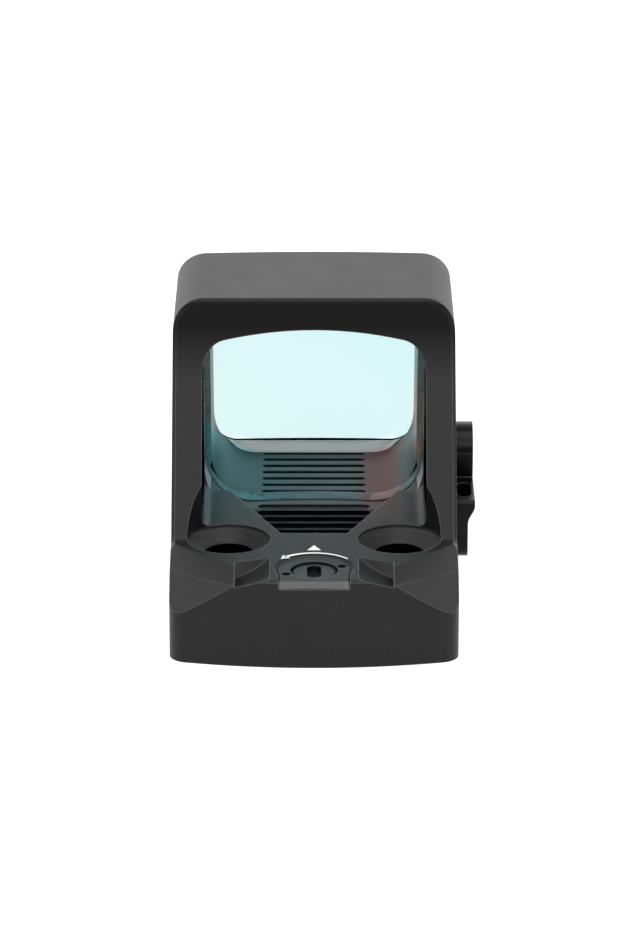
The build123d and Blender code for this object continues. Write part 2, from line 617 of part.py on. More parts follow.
with BuildPart() as emitter_block:
    with Locations((0, (BLOCK_REAR_Y + BLOCK_FRONT_Y) / 2, BLOCK_LOW_Z)):
        Box(2 * BLOCK_HALF_W, BLOCK_FRONT_Y - BLOCK_REAR_Y, BLOCK_T, align=UPRIGHT)
    with Locations((0, (HEAD_REAR_Y + BLOCK_FRONT_Y) / 2, BLOCK_TOP_Z)):
        Box(2.4, BLOCK_FRONT_Y - HEAD_REAR_Y, HEAD_TOP_Z - BLOCK_TOP_Z, align=UPRIGHT)
    # T slot across the rear for the lift slider
    with Locations((-0.8, -15.2, 3.15)):
        Box(3.4, 1.6, 1.1, align=UPRIGHT, mode=Mode.SUBTRACT)
    with Locations((-0.8, -14.35, 2.65)):
        Box(3.4, 0.9, 2.1, align=UPRIGHT, mode=Mode.SUBTRACT)
    # upright T groove in the right side for the windage nut
    with Locations((2.05, WIND_Y + 0.6, BLOCK_LOW_Z)):
        Box(0.9, 0.8, BLOCK_T, align=UPRIGHT, mode=Mode.SUBTRACT)
    with Locations((1.45, WIND_Y + 0.6, BLOCK_LOW_Z)):
        Box(0.7, 1.3, BLOCK_T, align=UPRIGHT, mode=Mode.SUBTRACT)

with BuildPart() as windage_nut:
    with Locations((3.65, WIND_Y, 2.2)):
        Box(1.2, 2.2, NUT_TOP_Z - 2.2, align=UPRIGHT)
    with Locations((2.4, WIND_Y + 0.6, 2.4)):
        Box(1.4, 0.7, 1.6, align=UPRIGHT)
    with Locations((1.45, WIND_Y + 0.6, 2.4)):
        Box(0.55, 1.15, 1.6, align=UPRIGHT)
    with BuildSketch(side_plane(3.2)):
        with Locations((WIND_Y, WIND_Z)):
            Circle(WIND_SHANK_R + SHANK_CLEAR)
    extrude(amount=2, mode=Mode.SUBTRACT)

with BuildPart() as emitter_board:
    with Locations((0, BLOCK_FRONT_Y + 0.15, 5.5)):
        Box(2.2, 0.3, 1.35, align=UPRIGHT)

with BuildPart() as emitter_led:
    with Locations((0, BLOCK_FRONT_Y + 0.5, PORT_Z - 0.35)):
        Box(0.8, 0.4, 0.7, align=UPRIGHT)
    with BuildSketch(rear_plane(BLOCK_FRONT_Y + 0.85)):
        with Locations((0, PORT_Z)):
            Circle(0.25)
    extrude(amount=0.2)

# ==== windage screw and seal ======================================================
with BuildPart() as windage_screw:
    with BuildSketch(side_plane(WIND_HEAD_IN_X)):
        with Locations((WIND_Y, WIND_Z)):
            Circle(WIND_HEAD_R)
    extrude(amount=WIND_HEAD_OUT_X - WIND_HEAD_IN_X)
    chamfer(windage_screw.edges().group_by(Axis.X)[-1], 0.12)
    with BuildSketch(side_plane(WIND_HEAD_IN_X + 0.4)):
        with Locations((WIND_Y, WIND_Z)):
            Circle(WIND_HEAD_R + 0.3)
            Circle(WIND_HEAD_R - 0.34, mode=Mode.SUBTRACT)
    extrude(amount=0.36, mode=Mode.SUBTRACT)
    with BuildSketch(side_plane(3.55)):
        with Locations((WIND_Y, WIND_Z)):
            Circle(WIND_SHANK_R)
    extrude(amount=WIND_HEAD_IN_X - 3.55)
    with BuildSketch(side_plane(WIND_HEAD_OUT_X)):
        with Locations((WIND_Y, WIND_Z)):
            SlotOverall(2.4, 0.6)
    extrude(amount=-0.6, mode=Mode.SUBTRACT)

with BuildPart() as windage_o_ring:
    with BuildSketch(side_plane(WIND_HEAD_IN_X + 0.42)):
        with Locations((WIND_Y, WIND_Z)):
            Circle(WIND_HEAD_R + 0.02)
            Circle(WIND_HEAD_R - 0.33, mode=Mode.SUBTRACT)
    extrude(amount=0.32)

# ==== battery tray, cell, seal and screw ==========================================
TRAY_HALF_L = SLOT_HALF_L - 0.15
TRAY_TOP_Z = SLOT_TOP_Z - 0.15

with BuildPart() as battery_tray:
    # door: thin below, swelling to a finger lip along its top
    with BuildSketch(rear_plane(TRAY_Y + DOOR_HALF_L)):
        with BuildLine():
            Polyline(
                (DOOR_THIN_X, DOOR_SWELL_Z),
                (DOOR_THIN_X, DOOR_LOW_Z),
                (DOOR_IN_X, DOOR_LOW_Z),
                (DOOR_IN_X, DOOR_TOP_Z),
                (DOOR_LIP_X, DOOR_TOP_Z),
                (DOOR_LIP_X, DOOR_TOP_Z - DOOR_LIP_T),
            )
            Spline(
                (DOOR_LIP_X, DOOR_TOP_Z - DOOR_LIP_T),
                (DOOR_THIN_X, DOOR_SWELL_Z),
                tangents=((-0.25, -1), (0, -1)),
            )
        make_face()
    extrude(amount=2 * DOOR_HALF_L)
    fillet(battery_tray.edges().filter_by(Axis.X).group_by(Axis.Z)[0], 1.2)
    fillet(battery_tray.edges().filter_by(Axis.X).group_by(Axis.Z)[-1], 0.35)
    # ear that carries the tray screw
    with BuildSketch(side_plane(DOOR_IN_X)):
        with Locations((TRAY_Y, EAR_Z)):
            Circle(EAR_R)
        with Locations((TRAY_Y, (EAR_Z + DOOR_TOP_Z) / 2)):
            Rectangle(2 * EAR_R, EAR_Z - DOOR_TOP_Z + 0.4)
    extrude(amount=EAR_OUT_X - DOOR_IN_X)
    # nail slots in the finger lip, either side of the ear
    with BuildSketch(Plane.XY.offset(DOOR_TOP_Z)):
        with Locations((NAIL_SLOT_X, TRAY_Y - NAIL_SLOT_Y), (NAIL_SLOT_X, TRAY_Y + NAIL_SLOT_Y)):
            SlotOverall(NAIL_SLOT_L, NAIL_SLOT_W, rotation=90)
    extrude(amount=-1.6, mode=Mode.SUBTRACT)
    # tray: floor with a window for the contact, filled corners beside the door
    with Locations(((SLOT_END_X + 0.3 + DOOR_IN_X) / 2, TRAY_Y, TRAY_FLOOR_LOW_Z)):
        Box(
            DOOR_IN_X - SLOT_END_X - 0.3, 2 * TRAY_HALF_L, TRAY_TOP_Z - TRAY_FLOOR_LOW_Z,
            align=UPRIGHT,
        )
    with BuildSketch(Plane.XY.offset(TRAY_FLOOR_TOP_Z)):
        with Locations((BATTERY_X, TRAY_Y)):
            Circle(BATTERY_R + 0.04)
        with Locations((BATTERY_X - 10, TRAY_Y)):
            Rectangle(20, 2 * BATTERY_R + 0.08)
        with Locations((BATTERY_X - 10, TRAY_Y)):
            Rectangle(20, 2 * TRAY_HALF_L + 1)
    extrude(amount=3, mode=Mode.SUBTRACT)
    with BuildSketch(Plane.XY.offset(TRAY_FLOOR_LOW_Z - 0.1)):
        with Locations((BATTERY_X, TRAY_Y)):
            Circle(5.4)
        with Locations((BATTERY_X - 5, TRAY_Y)):
            Rectangle(10, 5.4)
        with Locations((BATTERY_X - 9.5, TRAY_Y)):
            Rectangle(4, 5.4)
    extrude(amount=0.45, mode=Mode.SUBTRACT)
    # counterbored hole for the screw
    with BuildSketch(side_plane(DOOR_IN_X - 0.5)):
        with Locations((TRAY_Y, EAR_Z)):
            Circle(TRAY_SCREW_R + SHANK_CLEAR)
    extrude(amount=3, mode=Mode.SUBTRACT)
    with BuildSketch(side_plane(DOOR_IN_X + 0.85)):
        with Locations((TRAY_Y, EAR_Z)):
            Circle(1.4)
    extrude(amount=3, mode=Mode.SUBTRACT)

with BuildPart() as battery_cell:
    with Locations((BATTERY_X, TRAY_Y, TRAY_FLOOR_TOP_Z + 0.02)):
        Cylinder(BATTERY_R, BATTERY_T - 0.12, align=UPRIGHT)
    fillet(battery_cell.edges().group_by(Axis.Z)[-1], 0.25)
    with Locations((BATTERY_X, TRAY_Y, TRAY_FLOOR_TOP_Z + 0.02)):
        Cylinder(BATTERY_R - 1.0, 0.3, align=UPRIGHT, mode=Mode.SUBTRACT)

with BuildPart() as battery_cap:
    with Locations((BATTERY_X, TRAY_Y, TRAY_FLOOR_TOP_Z + 0.02)):
        Cylinder(BATTERY_R - 1.25, 0.3, align=UPRIGHT)

with BuildPart() as tray_seal:
    with BuildSketch(side_plane(DOOR_IN_X - 0.08)):
        with Locations((TRAY_Y, (SLOT_LOW_Z + SLOT_TOP_Z) / 2 + 0.1)):
            RectangleRounded(2 * SLOT_HALF_L + 0.4, SLOT_TOP_Z - SLOT_LOW_Z + 0.5, 0.4)
            Rectangle(2 * TRAY_HALF_L + 0.1, TRAY_TOP_Z - TRAY_FLOOR_LOW_Z + 0.3, mode=Mode.SUBTRACT)
    extrude(amount=0.08)

with BuildPart() as tray_screw:
    with BuildSketch(side_plane(TRAY_SCREW_END_X)):
        with Locations((TRAY_Y, EAR_Z)):
            Circle(TRAY_SCREW_R)
    extrude(amount=DOOR_IN_X + 0.87 - TRAY_SCREW_END_X)
    with BuildSketch(side_plane(DOOR_IN_X + 0.87)):
        with Locations((TRAY_Y, EAR_Z)):
            Circle(1.34)
    extrude(amount=0.9)
    chamfer(tray_screw.edges().group_by(Axis.X)[-1], 0.12)
    with BuildSketch(side_plane(DOOR_IN_X + 1.77)):
        with Locations((TRAY_Y, EAR_Z)):
            RegularPolygon(0.75, 6)
    extrude(amount=-0.65, mode=Mode.SUBTRACT)

# ==== main board, contacts and controller =========================================
with BuildPart() as main_board:
    with BuildSketch(Plane.XY.offset(BOARD_LOW_Z)):
        with Locations((0, BAY_Y)):
            RectangleRounded(BAY_W - 0.4, BAY_L - 0.4, 0.8)
    extrude(amount=BOARD_TOP_Z - BOARD_LOW_Z)

with BuildPart() as controller_chip:
    with Locations((-2.5, -2.6, BOARD_TOP_Z)):
        Box(3.0, 3.0, 0.38, align=UPRIGHT)

with BuildPart() as contact_negative:
    with Locations((BATTERY_X, TRAY_Y, BOARD_TOP_Z)):
        Cylinder(2.2, 0.12, align=UPRIGHT)
    with Locations((BATTERY_X, TRAY_Y, BOARD_TOP_Z + 0.12)):
        Cone(1.9, 0.9, 0.6, align=UPRIGHT)

with BuildPart() as contact_positive:
    with BuildSketch(rear_plane(TRAY_Y + 1.2)):
        with BuildLine():
            Polyline((-7.55, BOARD_TOP_Z), (-6.55, BOARD_TOP_Z), (-6.55, BOARD_TOP_Z + 0.15),
                     (-7.35, BOARD_TOP_Z + 0.15), (-7.35, 3.0))
            ThreePointArc((-7.35, 3.0), (-6.95, 3.45), (-7.35, 3.9))
            Polyline((-7.35, 3.9), (-7.55, 3.9), (-7.55, BOARD_TOP_Z))
        make_face()
    extrude(amount=2.4)

# ==== base cover, seal and screws =================================================
with BuildPart() as base_cover:
    with BuildSketch():
        add(cover_outline(0.05))
    extrude(amount=COVER_T)
    with Locations(*[(x, y, 0) for x, y in COVER_SCREWS]):
        Cylinder(COVER_SCREW_R, COVER_T, align=UPRIGHT, mode=Mode.SUBTRACT)
        Cone(1.05, COVER_SCREW_R, 0.45, align=UPRIGHT, mode=Mode.SUBTRACT)

with BuildPart() as base_seal:
    with BuildSketch(Plane.XY.offset(COVER_T)):
        add(cover_outline(0.08))
        add(cover_outline(0.36), mode=Mode.SUBTRACT)
    extrude(amount=LEDGE_Z - COVER_T)

for number, (x, y) in enumerate(COVER_SCREWS, start=1):
    with BuildPart() as cover_screw:
        with Locations((x, y, 0.03)):
            Cone(1.0, COVER_SCREW_R, 0.42, align=UPRIGHT)
        with Locations((x, y, 0.4)):
            Cylinder(COVER_SCREW_R, COVER_SCREW_TOP_Z - 0.45, align=UPRIGHT)
        with Locations((x, y, 0)):
            Box(1.3, 0.3, 0.25, align=UPRIGHT, mode=Mode.SUBTRACT)
    write(cover_screw.part, f"cover_screw_{number}")

# ==== keypad on the left side =====================================================
with BuildPart() as keypad_frame:
    with BuildSketch(side_plane(-HALF_W)):
        with Locations((KEYPAD_Y, BUTTON_Z)):
            RectangleRounded(KEYPAD_L - 0.1, KEYPAD_H - 0.1, 1.15)
        with Locations(*[(y, BUTTON_Z) for y in BUTTON_YS.values()]):
            RectangleRounded(BUTTON_L + 0.3, BUTTON_H + 0.3, 1.0, mode=Mode.SUBTRACT)
    extrude(amount=0.75)

with BuildPart() as keypad_board:
    with BuildSketch(side_plane(KEYPAD_IN_X - 0.6)):
        with Locations((KEYPAD_Y, BUTTON_Z)):
            RectangleRounded(KEYPAD_L - 0.6, KEYPAD_H - 0.5, 1.0)
    extrude(amount=0.5)

for name, y in BUTTON_YS.items():
    with BuildPart() as button:
        with BuildSketch(side_plane(-HALF_W + 0.05)):
            with Locations((y, BUTTON_Z)):
                RectangleRounded(BUTTON_L, BUTTON_H, 0.9)
        extrude(amount=0.95)
        chamfer(button.edges().group_by(Axis.X)[0], 0.12)
        with BuildSketch(side_plane(-HALF_W + 0.85)):
            with Locations((y, BUTTON_Z)):
                RectangleRounded(BUTTON_L + 0.8, BUTTON_H + 0.8, 1.0)
        extrude(amount=0.2)
        # minus or plus sign sunk into the cap
        with BuildSketch(side_plane(-HALF_W)):
            with Locations((y, BUTTON_Z)):
                Rectangle(1.6, 0.36)
                if name == "up":
                    Rectangle(0.36, 1.6)
        extrude(amount=0.17, mode=Mode.SUBTRACT)
    write(button.part, f"button_{name}")
    with BuildPart() as dome:
        with BuildSketch(side_plane(KEYPAD_IN_X - 0.6 - 0.1)):
            with Locations((y, BUTTON_Z)):
                Circle(1.4)
        extrude(amount=0.1)
        with BuildSketch(side_plane(KEYPAD_IN_X - 0.6 - 0.22)):
            with Locations((y, BUTTON_Z)):
                Circle(0.9)
        extrude(amount=0.12)
    write(dome.part, f"dome_switch_{name}")

# ==== write the remaining pieces ==================================================
PIECES = {
    "housing": housing,
    "lens_rear_element": lens_rear_element,
    "lens_front_element": lens_front_element,
    "lens_seal": lens_seal,
    "emitter_window": emitter_window,
    "emitter_bezel": emitter_bezel,
    "elevation_screw": elevation_screw,
    "elevation_o_ring": elevation_o_ring,
    "elevation_plate": elevation_plate,
    "elevation_spring": elevation_spring,
    "lift_slider": lift_slider,
    "emitter_block": emitter_block,
    "windage_nut": windage_nut,
    "emitter_board": emitter_board,
    "emitter_led": emitter_led,
    "windage_screw": windage_screw,
    "windage_o_ring": windage_o_ring,
    "battery_tray": battery_tray,
    "battery_cell": battery_cell,
    "battery_cap": battery_cap,
    "tray_seal": tray_seal,
    "tray_screw": tray_screw,
    "main_board": main_board,
    "controller_chip": controller_chip,
    "contact_negative": contact_negative,
    "contact_positive": contact_positive,
    "base_cover": base_cover,
    "base_seal": base_seal,
    "keypad_frame": keypad_frame,
    "keypad_board": keypad_board,
}
for label, piece in PIECES.items():
    write(piece.part, label)
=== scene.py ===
"""Looks of an open reflex red dot sight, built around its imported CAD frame.

Everything is in metres in the CAD frame: X to the user's right, Y towards the target,
Z up.  Each material is a short function of nodes, and each added piece rides on the
body that carries it.
"""
import json
import math

import bmesh
import bpy
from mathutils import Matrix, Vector


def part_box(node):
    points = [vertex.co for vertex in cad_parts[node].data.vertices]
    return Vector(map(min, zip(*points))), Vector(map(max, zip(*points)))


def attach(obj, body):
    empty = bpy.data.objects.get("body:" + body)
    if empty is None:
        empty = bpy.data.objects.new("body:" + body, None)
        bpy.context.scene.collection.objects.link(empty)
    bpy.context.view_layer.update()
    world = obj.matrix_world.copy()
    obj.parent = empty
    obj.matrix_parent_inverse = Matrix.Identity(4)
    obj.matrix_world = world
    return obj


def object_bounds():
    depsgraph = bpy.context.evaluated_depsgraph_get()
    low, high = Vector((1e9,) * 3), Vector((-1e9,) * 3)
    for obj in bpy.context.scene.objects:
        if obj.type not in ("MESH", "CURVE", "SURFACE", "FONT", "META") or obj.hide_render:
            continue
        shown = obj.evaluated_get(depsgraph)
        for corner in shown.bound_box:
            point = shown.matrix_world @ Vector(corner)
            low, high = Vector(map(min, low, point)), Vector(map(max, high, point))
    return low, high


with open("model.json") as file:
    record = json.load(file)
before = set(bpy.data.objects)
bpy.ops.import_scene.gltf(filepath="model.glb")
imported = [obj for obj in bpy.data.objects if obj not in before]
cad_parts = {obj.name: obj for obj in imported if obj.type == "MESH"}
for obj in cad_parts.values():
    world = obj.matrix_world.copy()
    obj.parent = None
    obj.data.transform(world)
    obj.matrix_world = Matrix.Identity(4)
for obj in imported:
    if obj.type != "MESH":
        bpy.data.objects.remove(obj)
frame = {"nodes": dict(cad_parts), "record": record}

MM = 0.001
CAD_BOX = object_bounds()

# ---- camera ------------------------------------------------------------------------
CAMERA_ELEVATION = math.radians(19.8)
CAMERA_DISTANCE = 384.15 * MM
CAMERA_AIM = Vector((-0.30, 0.0, 10.53)) * MM
CAMERA_LENS = 172.1      # focal length, in the sensor's millimetres
CAMERA_SENSOR = 36.0

# ---- studio ------------------------------------------------------------------------
FLOOR_HALF = 1.6
FLOOR_DROP = 0.02 * MM   # the floor lies this far below the object
FLOOR_GLOW = 0.9
FLOOR_ALBEDO = 0.35
WORLD_FRONT = 2.3        # the white sweep beyond the object
WORLD_BACK = 0.3         # the dim room behind the camera
WORLD_TURN = (0.1, 0.9)  # forward share of a direction, where room turns into sweep

# name, place, width and power of each soft light; all of them face the origin
LIGHTS = (
    ("key", (0.0, -0.2, 0.77), 0.5, 2.8),
    ("fill", (0.0, -0.62, 0.48), 0.4, 1.9),
    ("side_left", (-0.55, 0.03, 0.44), 0.35, 1.6),
    ("side_right", (0.55, 0.03, 0.44), 0.35, 1.6),
)

# ---- printed marks on the deck -----------------------------------------------------
DECK_ABOVE_PLATE = 0.15 * MM
PRINT_T = 0.012 * MM
ARROW_R = 3.53 * MM
ARROW_LINE = 0.3 * MM
ARROW_HALF_ANGLE = math.radians(52)
ARROW_STEPS = 40
HEAD_ANGLE = 0.2         # radians of arc that the arrow's head takes up
HEAD_OVERLAP = 0.3       # share of the head that the arc line reaches into
HEAD_HALF = 1.5 * ARROW_LINE
MARK_Y = 4.75 * MM       # from the elevation screw forward to the mark's middle
MARK_SIZE = 1.15 * MM

# ---- places on the housing with painted light and shade, and other looks of their own ---
DECK_Z = 7.8 * MM
SCREW_X = 7.2 * MM       # axes of the two mounting screws
SCREW_Y = -10.6 * MM
COUNTERBORE_R = 3.55 * MM
THROUGH_R = 2.02 * MM
BOW_Z = (19.3 * MM, 23.3 * MM)           # the painted shade grows over this height
BOW_Y = 0.5 * MM                         # and ends at the rear edge of the hood's top
CHANNEL_REAR_Y = -9.27 * MM
CHANNEL_REAR_HALF = 2.86 * MM
CHANNEL_SPREAD = 0.426                   # growth of the half width towards the front
CHANNEL_Y = (-9.32 * MM, 5.6 * MM)
CHANNEL_Z = (4.5 * MM, DECK_Z - 0.04 * MM)
CHANNEL_LIT_Y = (3.6 * MM, 4.2 * MM)     # the channel's painted shade ends over this stretch
LAND_Z = 5.05 * MM                       # lands between the grooves of its floor
LENS_JOINT_CENTRE = Vector((0.0, -26.75, 6.26)) * MM
LENS_JOINT_R = 34.1 * MM

# Boxes in millimetres, from low to high corner.  Their x is the distance from the
# middle plane, so a box from ACROSS reaches over the middle.
ACROSS = -1.0
# the tunnel, seat and lip boxes hold painted light, the rim and jamb boxes painted shade
TUNNEL_BOX = ((ACROSS, 1.3, 4.5), (9.04, 19.3, 22.64))
SEAT_BOX = ((9.01, 2.0, 5.0), (9.485, 7.0, 23.0))
LIP_BOX = ((ACROSS, 18.78, 5.0), (9.3, 19.22, 8.2))
RIM_BOX = ((ACROSS, 19.22, 5.0), (9.04, 20.7, 22.64))
JAMB_BOX = ((9.44, -12.0, 8.8), (9.56, 1.25, 23.2))
# the plate's rear end carries a painted highlight, the door recess painted shade
PLATE_END_HIGHLIGHT_BOX = ((ACROSS, -20.6, 6.8), (3.2, -20.15, 7.7))
DOOR_RECESS_BOX = ((12.44, 2.2, 5.2), (13.76, 16.8, 6.82))


# ==== node helpers ==================================================================
class Graph:
    """A material's node tree, with short calls for the nodes used here."""

    def __init__(self, name):
        self.material = bpy.data.materials.new(name)
        self.material.use_nodes = True
        self.tree = self.material.node_tree
        self.tree.nodes.clear()
        self.output = self.tree.nodes.new("ShaderNodeOutputMaterial")
        self.place = self.tree.nodes.new("ShaderNodeTexCoord").outputs["Object"]

    def node(self, kind, **inputs):
        made = self.tree.nodes.new(kind)
        for key, value in inputs.items():
            self.feed(made.inputs[key.replace("_", " ")], value)
        return made

    def feed(self, socket, value):
        if isinstance(value, bpy.types.NodeSocket):
            self.tree.links.new(value, socket)
        else:
            socket.default_value = value

    def noise(self, size, detail=2.0, stretch=(1, 1, 1)):
        """Noise whose features are about this many metres wide, divided by stretch."""
        mapping = self.node("ShaderNodeMapping", Vector=self.place, Scale=stretch)
        made = self.node("ShaderNodeTexNoise", Vector=mapping.outputs[0], Scale=1 / size, Detail=detail)
        return made.outputs["Fac"]

    def remap(self, value, from_low, from_high, to_low, to_high):
        made = self.node("ShaderNodeMapRange")
        made.clamp = True
        for socket, number in zip(made.inputs[:5], (value, from_low, from_high, to_low, to_high)):
            self.feed(socket, number)
        return made.outputs[0]

    def rise(self, value, low, high):
        """0 up to low and 1 from high on."""
        return self.remap(value, low, high, 0.0, 1.0)

    def fall(self, value, low, high):
        """1 up to low and 0 from high on."""
        return self.remap(value, low, high, 1.0, 0.0)

    def math(self, operation, a, b=0.0):
        made = self.tree.nodes.new("ShaderNodeMath")
        made.operation = operation
        self.feed(made.inputs[0], a)
        self.feed(made.inputs[1], b)
        return made.outputs[0]

    def add(self, a, b):
        return self.math("ADD", a, b)

    def product(self, first, *others):
        for other in others:
            first = self.math("MULTIPLY", first, other)
        return first

    def largest(self, first, *others):
        for other in others:
            first = self.math("MAXIMUM", first, other)
        return first

    def absolute(self, value):
        return self.math("ABSOLUTE", value)

    def blend(self, share, low, high):
        """Colour between low and high."""
        made = self.tree.nodes.new("ShaderNodeMix")
        made.data_type = "RGBA"
        self.feed(made.inputs["Factor"], share)
        self.feed(made.inputs[6], low)
        self.feed(made.inputs[7], high)
        return made.outputs[2]

    def mix(self, share, low, high):
        """Shader between low and high."""
        made = self.node("ShaderNodeMixShader", Fac=share)
        self.feed(made.inputs[1], low)
        self.feed(made.inputs[2], high)
        return made.outputs[0]

    def parts(self, vector):
        """The x, y and z of a vector."""
        return tuple(self.node("ShaderNodeSeparateXYZ", Vector=vector).outputs)

    def axes(self):
        return self.parts(self.place)

    def true_normal(self):
        return self.tree.nodes.new("ShaderNodeNewGeometry").outputs["True Normal"]

    def bump(self, height, distance, normal=None):
        made = self.node("ShaderNodeBump", Height=height, Distance=distance, Strength=1.0)
        if normal is not None:
            self.feed(made.inputs["Normal"], normal)
        return made.outputs[0]

    def soft_edges(self, radius):
        made = self.tree.nodes.new("ShaderNodeBevel")
        made.samples = 6
        made.inputs["Radius"].default_value = radius
        return made.outputs[0]

    def edge_share(self, rounded):
        """Near 1 on narrow edges, where the rounded normal leaves the true one."""
        made = self.tree.nodes.new("ShaderNodeVectorMath")
        made.operation = "DOT_PRODUCT"
        self.feed(made.inputs[0], rounded)
        self.feed(made.inputs[1], self.true_normal())
        return self.rise(made.outputs["Value"], 0.995, 0.9)

    def principled(self, **inputs):
        """The material, finished with one Principled shader."""
        return self.finish(self.node("ShaderNodeBsdfPrincipled", **inputs).outputs[0])

    def finish(self, shader):
        self.tree.links.new(shader, self.output.inputs["Surface"])
        return self.material


def rgba(r, g=None, b=None):
    """Opaque colour, or a grey when only one number is given."""
    return (r, r if g is None else g, r if b is None else b, 1.0)


def shade(colour, factor):
    return tuple(min(1.0, c * factor) for c in colour[:3]) + (1.0,)


def between(g, value, low, high, softness):
    """1 inside low..high and 0 outside, with soft ends."""
    return g.product(g.rise(value, low - softness, low + softness),
                     g.fall(value, high - softness, high + softness))


def in_box(g, low, high, softness=0.02 * MM):
    """1 inside one of the boxes in millimetres, whose x is the distance from the middle."""
    x, y, z = g.axes()
    spans = (g.absolute(x), y, z)
    return g.product(*[between(g, v, a * MM, b * MM, softness) for v, a, b in zip(spans, low, high)])


# ==== materials =====================================================================
WHITE = rgba(1.0)
BLACK = rgba(0.001)
# pale edge colour, standing for wear and for a painted highlight on edges
EDGE_WEAR_AND_HIGHLIGHT = rgba(0.16)


def metal_tone(g, grain, cloud, streak, run, cloud_share):
    """Fine grains, and the tone of grains, clouds and upright streaks; sizes in millimetres."""
    grains = g.noise(grain * MM, 3.0)
    clouds = g.noise(cloud * MM, 2.0)
    streaks = g.noise(streak * MM, 2.0, stretch=(1, 1, run))
    broad = g.add(g.product(clouds, cloud_share), g.product(streaks, 1 - cloud_share))
    return grains, g.add(g.product(broad, 0.6), g.product(grains, 0.4))


def worn_and_highlit_metal(g, colour, lightest, tone, edge, worn):
    """Base colour that follows the tone and pales on edges as wear and painted highlight, and the rounded
    normal.
    """
    base = g.blend(g.rise(tone, 0.3, 0.7), shade(colour, 0.6), shade(colour, lightest))
    rounded = g.soft_edges(edge)
    return g.blend(g.product(g.edge_share(rounded), worn), base, EDGE_WEAR_AND_HIGHLIGHT), rounded


def anodised(name, colour, roughness, specular, recess_painted_shade=None, bright=None):
    """Bead-blasted and anodised aluminium: fine grain, faint tool streaks, edges pale from wear and
    painted highlight, a painted highlight in the bright box and painted shade in the recess.
    """
    g = Graph(name)
    grains, tone = metal_tone(g, grain=0.09, cloud=3.2, streak=0.12, run=0.06, cloud_share=0.5)
    base, rounded = worn_and_highlit_metal(g, colour, 1.45, tone, edge=0.12 * MM, worn=0.7)
    if bright:
        # painted highlight inside the bright box
        base = g.blend(in_box(g, *bright), base, rgba(0.11))
    level = specular
    if recess_painted_shade:
        inside = in_box(g, *recess_painted_shade)
        # painted shade in the recess: black, with its specular taken away
        base = g.blend(inside, base, BLACK)
        level = g.remap(inside, 0.0, 1.0, specular, 0.0)
    rough = g.remap(tone, 0.25, 0.75, roughness - 0.06, roughness + 0.07)
    return g.principled(Base_Color=base, Roughness=rough, Specular_IOR_Level=level,
                        Normal=g.bump(grains, 0.007 * MM, rounded))


def painted_bow_shade(g):
    """1 on the upper bow of the leaning rear face, where shade is painted into the colour."""
    _, y, z = g.axes()
    return g.product(g.rise(z, *BOW_Z), g.fall(y, BOW_Y, BOW_Y + 0.12 * MM))


def counterbore_shares(g):
    """1 inside the two counterbores, and 1 inside their through holes, where shade is painted."""
    x, y, z = g.axes()
    out_x = g.math("SUBTRACT", g.absolute(x), SCREW_X)
    out_y = g.math("SUBTRACT", y, SCREW_Y)
    reach = g.math("SQRT", g.add(g.product(out_x, out_x), g.product(out_y, out_y)))
    turned = g.product(g.fall(reach, COUNTERBORE_R, COUNTERBORE_R + 0.05 * MM),
                       g.fall(z, DECK_Z - 0.06 * MM, DECK_Z - 0.02 * MM))
    return turned, g.product(g.fall(reach, THROUGH_R, THROUGH_R + 0.08 * MM), turned)


def opening_layers(g, base):
    """Painted light on the tunnel, lens seat and lip ramp and painted shade on the rim and window jambs,
    over the base; and the share of painted shade.
    """
    _, y, z = g.axes()
    across, along, _ = g.parts(g.true_normal())
    inward = g.fall(g.absolute(along), 0.5, 0.6)
    rearward = g.fall(along, -0.6, -0.5)
    sideways = g.rise(g.absolute(across), 0.7, 0.9)
    # painted light: the tunnel floor lightens towards the front opening, and the walls above it are pale
    floor = g.blend(g.rise(y, 6.0 * MM, 18.6 * MM), rgba(0.025), rgba(0.065))
    tunnel_painted_light = g.blend(g.rise(z, 7.5 * MM, 10.0 * MM), floor, rgba(0.55))
    rim = g.product(in_box(g, *RIM_BOX), inward)
    jamb = g.product(in_box(g, *JAMB_BOX), sideways)
    layers = (
        (g.product(in_box(g, *TUNNEL_BOX), inward), tunnel_painted_light),
        (in_box(g, *SEAT_BOX, softness=0.01 * MM), rgba(0.6)),
        (g.product(in_box(g, *LIP_BOX), rearward), rgba(0.95, 0.9, 0.9)),
        (rim, BLACK),
        (jamb, BLACK),
    )
    for share, colour in layers:
        base = g.blend(share, base, colour)
    return base, g.largest(rim, jamb)


def channel_shade_share(g):
    """1 inside the V-shaped channel below the deck, as far forward as its shade is painted."""
    x, y, z = g.axes()
    widening = g.product(g.math("SUBTRACT", y, CHANNEL_REAR_Y), CHANNEL_SPREAD)
    half = g.add(widening, CHANNEL_REAR_HALF)
    inside = g.rise(g.math("SUBTRACT", half, g.absolute(x)), -0.01 * MM, 0.03 * MM)
    return g.product(inside, between(g, y, *CHANNEL_Y, 0.02 * MM),
                     between(g, z, *CHANNEL_Z, 0.02 * MM), g.fall(y, *CHANNEL_LIT_Y))


def channel_painted_shade(g):
    """Painted shade: nearly black, left slightly lighter on the lands between the grooves."""
    _, _, z = g.axes()
    land = between(g, z, LAND_Z - 0.03 * MM, LAND_Z + 0.03 * MM, 0.01 * MM)
    return g.blend(land, rgba(0.0012, 0.0013, 0.0018), rgba(0.010, 0.012, 0.016))


def deck_share(g):
    """1 on the deck's flat top, fading out towards its rear edge, where a warm specular tint is painted.
    """
    _, y, z = g.axes()
    level = between(g, z, DECK_Z - 0.03 * MM, DECK_Z + 0.03 * MM, 0.01 * MM)
    return g.product(level, g.rise(y, -16.0 * MM, -12.0 * MM))


